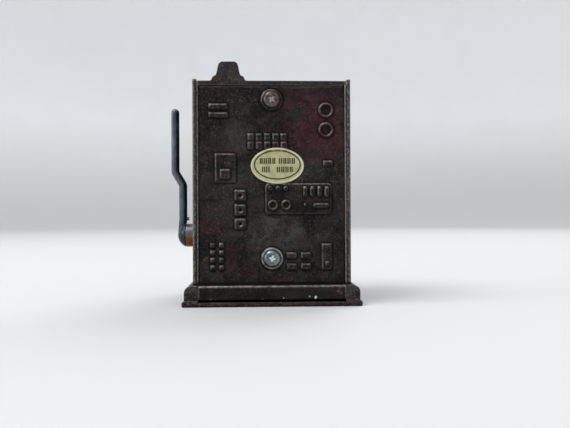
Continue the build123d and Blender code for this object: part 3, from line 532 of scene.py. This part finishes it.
# Painted shade in the hollows of two rings on the plate: (x, z, half width, half height).
WELLS = ((-14.35, 51.3, 0.85, 0.85), (-14.35, 46.1, 0.85, 0.85))
CHIPS = ((-11.2, 2.35, 0.26, 0.38), (-9.6, 2.6, 0.22, 0.15), (-2.9, 2.2, 0.16, 0.12),
         (2.55, 1.95, 0.2, 0.13), (16.0, 2.0, 0.18, 0.14), (14.7, 1.75, 0.16, 0.12),
         (0.9, 4.3, 0.07, 0.45))
COPPER_SPOTS = ((-17.1, 3.9, 0.36, 0.26), (-17.8, 3.4, 0.30, 0.34), (-17.4, 4.5, 0.16, 0.24),
                (18.2, 11.4, 0.26, 0.16), (17.7, 12.0, 0.30, 0.14), (17.2, 12.5, 0.22, 0.14),
                (18.7, 7.0, 0.08, 0.6))


def smooth_rows(heights, amount, times=1):
    """Blurs a grid both ways, so that the relief has a casting's soft edges."""
    for _ in range(times):
        for axis in (0, 1):
            padded = np.pad(heights, [(1, 1) if a == axis else (0, 0) for a in (0, 1)], mode="edge")
            before = padded.take(range(0, heights.shape[axis]), axis=axis)
            after = padded.take(range(2, heights.shape[axis] + 2), axis=axis)
            heights = heights * (1 - amount) + (before + after) * (amount / 2)
    return heights


def relief_tree(node):
    mesh = NODES[node].data
    vertices = [v.co.copy() for v in mesh.vertices]
    return BVHTree.FromPolygons(vertices, [tuple(p.vertices) for p in mesh.polygons])


def cast_heights(tree, across, up, from_y):
    """Heights of the CAD relief, each the mean of four rays, and a mask of where there is metal."""
    step_x, step_z = across[1] - across[0], up[1] - up[0]
    total, found = np.zeros((len(up), len(across))), np.zeros((len(up), len(across)), int)
    for dx, dz in ((-0.25, -0.25), (0.25, -0.25), (-0.25, 0.25), (0.25, 0.25)):
        for i, z in enumerate(up):
            for j, x in enumerate(across):
                start = Vector((x + dx * step_x, from_y, z + dz * step_z)) * MM
                hit = tree.ray_cast(start, Vector((0, -1, 0)))[0]
                if hit is not None:
                    total[i, j] += hit.y / MM
                    found[i, j] += 1
    return np.where(found > 1, total / np.maximum(found, 1), PLATE_FACE), found > 1


def wear_and_painted_light(heights, step):
    """(wear and highlight, shade) grids: the upper and arm-side edges, where the light falls, are rubbed and
    get a painted highlight; painted shade lies under and beside the relief and on slopes facing down and
    away from the arm's side.
    """
    near = heights - smooth_rows(heights, 0.6, 4)
    slope_z, slope_x = np.gradient(smooth_rows(heights, 0.6, 2), step)
    steep = np.hypot(slope_x, slope_z) + 1e-6
    facing = np.clip((-0.85 * slope_z - 0.5 * slope_x) / steep, -1, 1)
    crest = np.clip(near / 0.04, 0, 1) * np.clip(steep / 0.16, 0, 1)
    # Wear and painted highlight on raised edges, strongest where they face up and towards the arm's side.
    wear_and_highlight = np.clip(1.15 * crest**1.7, 0, 1) * (0.15 + 0.85 * np.clip(facing, 0, 1))
    # Painted shade at the foot of the relief and on slopes facing down and away from the arm's side.
    foot = np.clip(-near / 0.04, 0, 1)
    painted_shade_and_grime = np.maximum(foot, np.clip(steep / 0.4, 0, 1) * np.clip(-facing, 0, 1) * 0.85)
    return wear_and_highlight, np.clip(painted_shade_and_grime, 0, 1)


def spots(across, up, places):
    """Grid with small soft spots, each (x, z, half width, half height)."""
    grid = np.zeros((len(up), len(across)))
    for x, z, wide, tall in places:
        away = ((across[None, :] - x) / wide) ** 2 + ((up[:, None] - z) / tall) ** 2
        grid = np.maximum(grid, np.clip(1.6 - away, 0, 1))
    return grid


def ledge_wear_and_highlight(across, up, noise):
    """The ledge's upper edge is rubbed and gets a painted highlight over its whole length, and its ends are
    rubbed a little.
    """
    top = np.exp(-(((up - LEDGE_TOP + 0.05) / 0.17) ** 4))[:, None] * 2.0
    ends = np.exp(-(((np.abs(across) - across[-1]) / 0.16) ** 2))[None, :] * (up < LEDGE_TOP)[:, None] * 0.9
    return np.maximum(top, ends) * np.clip(0.95 + (noise - 0.5) * 3, 0.45, 1.3)


def ledge_chips_and_glint(across, up, noise, heights):
    """Bare metal and a painted glint along the ledge's upper edge, more of it towards the arm's side."""
    edge = np.exp(-(((up - LEDGE_EDGE_Z) / 0.17) ** 4))[:, None]
    strength = np.interp(across, (-19, 0, 19), (0.72, 0.85, 1.0))
    return (edge * strength * np.clip((heights - 16.7) / 0.7, 0, 1)
            * np.clip(0.9 + (noise - 0.5) * 3, 0.4, 1))


def wear_and_highlight_share(up):
    """How much of the wear and painted highlight to keep at each height: less low down, and hardly any on
    the ledge's face.
    """
    face_end = LEDGE_TOP - 0.6
    share = np.interp(up, (face_end, face_end + 0.01, 18, 34, 44, 60), (0.25, 0.66, 0.74, 1.0, 0.78, 0.78))
    return share[:, None]


def boss_ring(across, up, noise):
    """The rim of the boss round the lower screw has lost its lacquer."""
    away = np.hypot(across[None, :] - LOWER_SCREW[0], up[:, None] - LOWER_SCREW[1])
    return np.exp(-(((away - BOSS_EDGE_R) / 0.2) ** 2)) * np.clip(1.3 + (noise - 0.5) * 3, 0.5, 1.8)


def plate_marks(across, up, heights, relief, noise, top):
    """Grids of the plate's marks by attribute name: wear with painted highlight, painted shade, chips with a
    painted glint, and copper.
    """
    wear_and_highlight, painted_shade_and_grime = relief
    wear_and_highlight = wear_and_highlight * np.clip(0.7 + (noise - 0.5) * 4, 0.35, 1) * wear_and_highlight_share(up)
    on_ledge = np.clip((heights - 17.4) / 0.6, 0, 1)
    # Wear and a painted highlight along the ledge's upper edge.
    wear_and_highlight = np.maximum(wear_and_highlight, ledge_wear_and_highlight(across, up, noise) * on_ledge)
    wear_and_highlight = np.maximum(wear_and_highlight, boss_ring(across, up, noise))
    wear_and_highlight = np.maximum(wear_and_highlight, np.exp(-(((up - top + 0.14) / 0.14) ** 2))[:, None] * 0.75 * noise)
    # Painted shade in the hollows of the two rings.
    painted_shade_and_grime = np.maximum(painted_shade_and_grime, spots(across, up, WELLS) * 0.62)
    # Chips, and a painted glint along the ledge's upper edge.
    chips_and_glint = np.maximum(spots(across, up, CHIPS), ledge_chips_and_glint(across, up, noise, heights))
    return {"wear_and_highlight": wear_and_highlight, "painted_shade_and_grime": painted_shade_and_grime, "chip_and_glint": chips_and_glint, "copper": spots(across, up, COPPER_SPOTS)}


def back_plate():
    """The plate's outer side as one fine skin over the CAD relief, softened, with its rim and inner side."""
    low, high = box_mm("back_plate")
    across = np.linspace(low[0] + 0.01, high[0] - 0.01, int((high[0] - low[0]) / GRID_STEP))
    up = np.linspace(low[2] + 0.01, high[2] - 0.01, int((high[2] - low[2]) / GRID_STEP))
    heights, solid = cast_heights(relief_tree("back_plate"), across, up, high[1] + 5)
    soft = smooth_rows(heights, 0.35)
    relief = wear_and_painted_light(soft, GRID_STEP)
    rng = np.random.default_rng(7)
    for size, tall in ((12, 0.014), (60, 0.03)):
        waves = smooth_rows(rng.normal(size=soft.shape), 0.66, size)
        soft = soft + waves / waves.std() * tall
    noise = smooth_rows(rng.random(soft.shape), 0.6, 3)
    grids = plate_marks(across, up, soft, relief, noise, high[2])
    index = np.where(solid, np.cumsum(solid).reshape(solid.shape) - 1, -1)
    rows, columns = np.nonzero(solid)
    vertices = [(across[j], min(soft[i, j], high[1]), up[i]) for i, j in zip(rows, columns)]
    quads = np.stack([index[:-1, :-1], index[1:, :-1], index[1:, 1:], index[:-1, 1:]], -1).reshape(-1, 4)
    faces = quads[quads.min(axis=1) >= 0].tolist()
    plate = new_object("back_plate_cast", vertices, faces, "bronze_plate")
    for name, grid in grids.items():
        attribute = plate.data.attributes.new(name, "FLOAT", "POINT")
        attribute.data.foreach_set("value", grid[solid].astype(np.float32))
    close_skin(plate, low[1] * MM)
    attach(plate, "cabinet")
    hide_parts("back_plate")


def close_skin(obj, inner_y):
    """Gives an open skin a wall round each border, down to a flat inner side."""
    bm = bmesh.new()
    bm.from_mesh(obj.data)
    bmesh.ops.delete(bm, geom=[v for v in bm.verts if not v.link_faces], context="VERTS")
    border = [e for e in bm.edges if e.is_boundary]
    made = bmesh.ops.extrude_edge_only(bm, edges=border)["geom"]
    for vertex in (g for g in made if isinstance(g, bmesh.types.BMVert)):
        vertex.co.y = inner_y
    for face in (g for g in made if isinstance(g, bmesh.types.BMFace)):
        face.smooth = False
    # The walls are made in no fixed order, so the faces are put in order of their x and then z.
    centres = {face: face.calc_center_median() for face in bm.faces}
    bm.faces.sort(key=lambda face: centres[face].x * 1e4 + centres[face].z)
    rim = [e for e in made if isinstance(e, bmesh.types.BMEdge) and e.is_boundary]
    bmesh.ops.triangle_fill(bm, edges=rim, use_beauty=True, use_dissolve=False, normal=(0, -1, 0))
    bmesh.ops.recalc_face_normals(bm, faces=bm.faces)
    bm.to_mesh(obj.data)
    bm.free()


# ------------------------------------------------------------------ screws
HEAD_TALL, SHANK_R, CROSS_HALF_LONG, CROSS_HALF_WIDE, CROSS_DEEP = 1.1, 1.4, 1.15, 0.27, 0.62


def pan_screw(node, name, finish, turn):
    """Pan head as a fine round grid with a cross recess, over the CAD screw's head and shank."""
    low, high = box_mm(node)
    cx, cz = (low[0] + high[0]) / 2, (low[2] + high[2]) / 2
    head_r, top = (high[0] - low[0]) / 2, high[1]
    seat = top - HEAD_TALL
    rings, sides = 34, 96
    vertices, recess = [], []
    for i in range(rings + 1):
        share = i / rings
        r = head_r * min(1.0, share * 1.12)
        drop = 0.0 if share * 1.12 < 1 else (share * 1.12 - 1) / 0.12
        for k in range(sides):
            a = 2 * math.pi * k / sides
            inner = min(1.0, r / head_r)
            dome = HEAD_TALL * (1 - 0.16 * inner**2) * (1 - max(0.0, inner - 0.72) ** 2 * 6.3)
            y = seat + dome * (1 - drop)
            u, v = r * math.cos(a - turn), r * math.sin(a - turn)
            arm = min(max(abs(u) / CROSS_HALF_LONG, abs(v) / CROSS_HALF_WIDE),
                      max(abs(v) / CROSS_HALF_LONG, abs(u) / CROSS_HALF_WIDE))
            depth = CROSS_DEEP * max(0.0, min(1.0, (1.1 - arm) / 0.16))
            recess.append(min(1.0, depth / 0.5) * max(0.0, 1 - inner / 0.62))
            vertices.append((cx + r * math.cos(a), y - depth, cz + r * math.sin(a)))
    faces = ring_faces(rings, sides)
    shank_end = low[1]
    turns = [2 * math.pi * k / sides for k in range(sides)]
    for r, y in ((SHANK_R, seat), (SHANK_R, shank_end + 0.5), (SHANK_R / 2, shank_end)):
        start = len(vertices)
        vertices += [(cx + r * math.cos(a), y, cz + r * math.sin(a)) for a in turns]
        for k in range(sides):
            n = (k + 1) % sides
            faces.append((start - sides + k, start + k, start + n, start - sides + n))
    faces.append(tuple(range(len(vertices) - 1, len(vertices) - sides - 1, -1)))
    screw = new_object(name, vertices, faces, finish)
    attribute = screw.data.attributes.new("recess", "FLOAT", "POINT")
    attribute.data.foreach_set("value", recess + [0.0] * (len(vertices) - len(recess)))
    mend(screw, weld=True)
    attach(screw, "cabinet")
    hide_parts(node)


# ------------------------------------------------------------------ label
LABEL_Z, LABEL_RX, LABEL_RZ, LABEL_LIFT_MAX = 36.65, 7.0, 4.72, 0.36
PRINT_LIFT, PRINT_THICK = 0.115, 0.02
MARK_PITCH, MARK_WIDE = 1.11, 0.34
# Rows of greeked marks: (height above the label's middle, words as (start, count)).
MARK_ROWS = ((1.28, ((-4.60, 4), (0.52, 4))), (-0.97, ((-4.05, 4), (2.05, 2))))


def label():
    """Oval foil label that lies over the plate, with a raised rim line and greeked marks."""
    low, high = box_mm("origin_sticker")
    cx = (low[0] + high[0]) / 2
    tree = relief_tree("back_plate")

    def surface(x, z):
        hit = tree.ray_cast(Vector((x, 30, z)) * MM, Vector((0, -1, 0)))
        return hit[0].y / MM if hit[0] is not None else PLATE_FACE

    def oval(name, finish, outer, inner, lift, thick, rings=8, rise=0.0):
        """A band between two distances in from the label's border. rise lifts its centre."""
        vertices, sides = [], 96
        for i in range(rings + 1):
            share = inner + (outer - inner) * i / rings
            flat = LABEL_RZ / LABEL_RX if inner == LABEL_RX else 1.0
            for k in range(sides):
                a = 2 * math.pi * k / sides
                x = cx + (LABEL_RX - share) * math.cos(a)
                z = LABEL_Z + rise + (LABEL_RZ - share * flat) * math.sin(a)
                y = max(surface(x + dx, z + dz) for dx in (-0.25, 0, 0.25) for dz in (-0.25, 0, 0.25))
                vertices.append((x, min(y, PLATE_FACE + LABEL_LIFT_MAX) + lift, z))
        obj = new_object(name, vertices, ring_faces(rings, sides), finish)
        mend(obj, weld=True, face_back=True)
        solid = obj.modifiers.new("thickness", "SOLIDIFY")
        solid.thickness, solid.offset = thick * MM, 1.0
        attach(obj, "cabinet")
        return obj

    face = oval("label_face", "label", 0.0, LABEL_RX, 0.02, 0.08, rings=30)
    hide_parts("origin_sticker")
    oval("label_rim", "label_rim", 0.08, 0.46, PRINT_LIFT, PRINT_THICK)
    oval("label_line", "ink", 0.82, 1.15, PRINT_LIFT, PRINT_THICK, rise=0.29)
    rng = random.Random(11)
    vertices, faces = [], []
    for rise, words in MARK_ROWS:
        for start, count in words:
            for i in range(count):
                left, apart = cx + start + MARK_PITCH * i, rng.uniform(0.44, 0.58)
                for x in (left, left + apart):
                    add_mark(vertices, faces, x, LABEL_Z + rise, rng.uniform(1.4, 1.6))
    marks = new_object("label_marks", vertices, faces, "ink", smooth=False)
    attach(marks, "cabinet")


def add_mark(vertices, faces, x, z, tall):
    """A short greeked bar: a closed block just proud of the label."""
    start, y, wide = len(vertices), PLATE_FACE + 0.125, MARK_WIDE
    for depth in (-0.015, 0.012):
        vertices += [(x, y + depth, z - tall / 2), (x + wide, y + depth, z - tall / 2),
                     (x + wide, y + depth, z + tall / 2), (x, y + depth, z + tall / 2)]
    for quad in ((0, 1, 2, 3), (7, 6, 5, 4), (0, 4, 5, 1), (1, 5, 6, 2), (2, 6, 7, 3), (3, 7, 4, 0)):
        faces.append(tuple(start + q for q in quad))


# ------------------------------------------------------------------ reel symbols
def circle(r, wide=1.0, count=28):
    turns = [2 * math.pi * i / count for i in range(count)]
    return [(r * wide * math.cos(a), r * math.sin(a)) for a in turns]


def spiky(points, outer, inner):
    """A star's outline with its first point upwards; two points make a diamond with equal halves."""
    corners = []
    for i in range(2 * points):
        r, a = (outer, inner)[i % 2], math.pi / 2 + math.pi * i / points
        corners.append((r * math.cos(a), r * math.sin(a)))
    return corners


def moved(outline, u, v, turn=0.0):
    c, s = math.cos(turn), math.sin(turn)
    return [(u + c * x - s * y, v + s * x + c * y) for x, y in outline]


def slab(wide, tall):
    return [(-wide / 2, -tall / 2), (wide / 2, -tall / 2), (wide / 2, tall / 2), (-wide / 2, tall / 2)]


BELL_SIDE = [(0.55, 1.9), (0.95, 1.2), (1.15, 0.2), (1.35, -0.7), (1.95, -1.25), (1.95, -1.6)]
BELL = [(0, 2.1)] + BELL_SIDE + [(0, -1.6)] + [(-u, v) for u, v in reversed(BELL_SIDE)]
# Each symbol as (ink, outline) pairs.
SYMBOLS = {
    "cherries": [("green", moved(slab(0.28, 2.4), -0.45, 0.95, -0.45)),
                 ("green", moved(slab(0.28, 2.2), 0.75, 1.0, 0.35)),
                 ("green", moved(circle(0.95, 0.5), 1.25, 1.75, -1.1)),
                 ("red", moved(circle(1.05), -1.15, -0.85)), ("red", moved(circle(1.05), 1.2, -0.65))],
    "bell": [("gold", BELL), ("red", moved(circle(0.5), 0, -1.95))],
    "plum": [("blue", moved(circle(1.7, 0.92), 0, -0.35)),
             ("green", moved(circle(0.85, 0.5), 0.75, 1.75, -0.9))],
    "star": [("red", spiky(5, 2.3, 0.95))],
    "diamond": [("blue", spiky(2, 2.3, 1.75))],
    "bars": [("ink", moved(slab(4.6, 0.95), 0, v)) for v in (-1.45, 0.0, 1.45)],
    "lemon": [("gold", moved(circle(1.35, 1.35), 0, 0, 0.3)),
              ("green", moved(circle(0.7, 0.45), 1.75, 1.0, -0.9))],
}
REEL_ORDERS = {
    "left": ["cherries", "bars", "plum", "bell", "star", "lemon", "diamond", "plum"],
    "centre": ["bell", "plum", "cherries", "star", "lemon", "bars", "plum", "diamond"],
    "right": ["plum", "star", "bars", "lemon", "cherries", "diamond", "bell", "bars"],
}


def wrapped_patch(vertices, faces, outline, angle, axis):
    """Wraps a flat outline round the reel as a thin closed patch standing just proud of the paper."""
    points = []
    for (u, v), (next_u, next_v) in zip(outline, outline[1:] + outline[:1]):
        parts = max(1, int(math.hypot(next_u - u, next_v - v) / 0.35))
        points += [(u + (next_u - u) * i / parts, v + (next_v - v) * i / parts) for i in range(parts)]
    mid = [sum(p[i] for p in points) / len(points) for i in (0, 1)]
    count, rings, radius = len(points), 5, axis["radius"]
    start = len(vertices)
    for lift in (0.03, -0.05):
        for ring in range(1, rings + 1):
            for u, v in points:
                x, arc = (mid[0] + (u - mid[0]) * ring / rings), (mid[1] + (v - mid[1]) * ring / rings)
                a = angle + arc / radius
                vertices.append((axis["x"] - x, axis["y"] - (radius + lift) * math.cos(a),
                                 axis["z"] + (radius + lift) * math.sin(a)))
    for side in (0, 1):
        base = start + side * rings * count
        faces.append(tuple(base + k for k in range(count)))
        for ring in range(rings - 1):
            for k in range(count):
                n, row = (k + 1) % count, base + ring * count
                faces.append((row + k, row + n, row + count + n, row + count + k))
    top, bottom = start + (rings - 1) * count, start + (2 * rings - 1) * count
    for k in range(count):
        n = (k + 1) % count
        faces.append((top + k, top + n, bottom + n, bottom + k))


def reel_symbols(name):
    """Eight generic symbols round one reel, one mesh per ink."""
    low, high = box_mm("reel_band_" + name)
    axis = {"x": (low[0] + high[0]) / 2, "y": (low[1] + high[1]) / 2, "z": (low[2] + high[2]) / 2,
            "radius": (high[2] - low[2]) / 2}
    inks = {}
    for i, symbol in enumerate(REEL_ORDERS[name]):
        for ink, outline in SYMBOLS[symbol]:
            vertices, faces = inks.setdefault(ink, ([], []))
            wrapped_patch(vertices, faces, outline, i * math.pi / 4, axis)
    for ink, (vertices, faces) in inks.items():
        patch = new_object("reel_%s_%s" % (name, ink), vertices, faces, ink, smooth=False)
        mend(patch)
        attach(patch, "reel_" + name)


# ------------------------------------------------------------------ stage
KEY_WATTS, ARM_SIDE_WATTS = 5.2, 1.7
ROOM_LOW, ROOM_HIGH, ROOM_COLOR = 0.50, 1.32, (0.60, 0.62, 0.65, 1)
CAMERA_AT, LENS_MM, YAW_PITCH_ROLL = (3.0, 178.8, 23.6), 39.16, (-2.25, 0.13, -0.24)


def stage():
    """Pale round floor that curves up into a pale wall all round."""
    reach, bend, tall, sides = 1.5, 0.45, 1.0, 72
    profile = [(0.02, 0.0), (reach - bend, 0.0)]
    for i in range(1, 13):
        a = math.pi / 2 * i / 12
        profile.append((reach - bend + bend * math.sin(a), bend - bend * math.cos(a)))
    profile.append((reach, tall))
    turns = [2 * math.pi * k / sides for k in range(sides)]
    vertices = [(r / MM * math.cos(a), r / MM * math.sin(a), z / MM) for r, z in profile for a in turns]
    faces = [tuple(range(sides))] + ring_faces(len(profile) - 1, sides)
    s = Shader("pale_sweep")
    shade = s.mix(s.ramp(s.noise(60.0, 3.0), 0.3, 0.7), (0.94, 0.945, 0.95), (0.96, 0.965, 0.97))
    shade = s.mix(s.along("Z", 0.0, 300.0, 1.0, 0.0), shade, (0.60, 0.60, 0.605))
    MATERIALS["sweep"] = s.finish(shade, 0.0, 0.8, s.bump(s.noise(1.2, 4.0), 0.02, 0.4))
    floor = new_object("floor", vertices, faces, "sweep")


def area_light(name, place, target, size, watts, color):
    light = bpy.data.lights.new(name, "AREA")
    light.shape, light.size, light.energy, light.color = "DISK", size, watts, color
    obj = bpy.data.objects.new(name, light)
    bpy.context.scene.collection.objects.link(obj)
    obj.location = place
    obj.rotation_euler = (Vector(target) - Vector(place)).to_track_quat("-Z", "Y").to_euler()


def lights():
    """Soft light from high up on the arm's side, and a room that is brighter overhead."""
    centre = (0, 0, 0.03)
    area_light("key", (0.45, 0.25, 0.85), centre, 0.55, KEY_WATTS, (1.0, 0.985, 0.96))
    area_light("front_key", (-0.35, -0.55, 0.75), centre, 0.6, KEY_WATTS * 0.7, (0.97, 0.98, 1.0))
    area_light("arm_side", (0.75, 0.10, 0.26), (0, 0, 0.035), 0.35, ARM_SIDE_WATTS,
               (0.95, 0.98, 1.0))
    world = bpy.data.worlds.new("soft_room")
    bpy.context.scene.world = world
    world.use_nodes = True
    tree = world.node_tree
    split = tree.nodes.new("ShaderNodeSeparateXYZ")
    tree.links.new(tree.nodes.new("ShaderNodeTexCoord").outputs["Generated"], split.inputs[0])
    rise = tree.nodes.new("ShaderNodeMapRange")
    rise.inputs["From Min"].default_value = -0.1
    rise.inputs["To Min"].default_value, rise.inputs["To Max"].default_value = ROOM_LOW, ROOM_HIGH
    tree.links.new(split.outputs["Z"], rise.inputs["Value"])
    tree.links.new(rise.outputs["Result"], tree.nodes["Background"].inputs["Strength"])
    tree.nodes["Background"].inputs["Color"].default_value = ROOM_COLOR


def camera():
    """Stands behind the cabinet, a little above its foot, turned slightly towards the arm."""
    cam = bpy.data.cameras.new("camera")
    cam.sensor_width, cam.lens = 36.0, LENS_MM
    cam.clip_start, cam.clip_end = 0.01, 20
    obj = bpy.data.objects.new("camera", cam)
    bpy.context.scene.collection.objects.link(obj)
    yaw, pitch, roll = (math.radians(a) for a in YAW_PITCH_ROLL)
    forward = Vector((math.sin(yaw) * math.cos(pitch), -math.cos(yaw) * math.cos(pitch), math.sin(pitch)))
    obj.location = Vector(CAMERA_AT) * MM
    turn = forward.to_track_quat("-Z", "Y").to_matrix() @ Matrix.Rotation(roll, 3, "Z")
    obj.rotation_euler = turn.to_euler()
    bpy.context.scene.camera = obj


bpy.context.scene.view_settings.view_transform = "Standard"
for finish, names in CAD_FINISH.items():
    for node in names:
        dress(NODES[node], finish)
back_plate()
pan_screw("upper_back_screw", "upper_back_screw_head", "screw_dull", math.radians(35))
pan_screw("lower_back_screw", "lower_back_screw_head", "screw_zinc", math.radians(10))
label()
for reel in REEL_ORDERS:
    reel_symbols(reel)
stage()
lights()
camera()
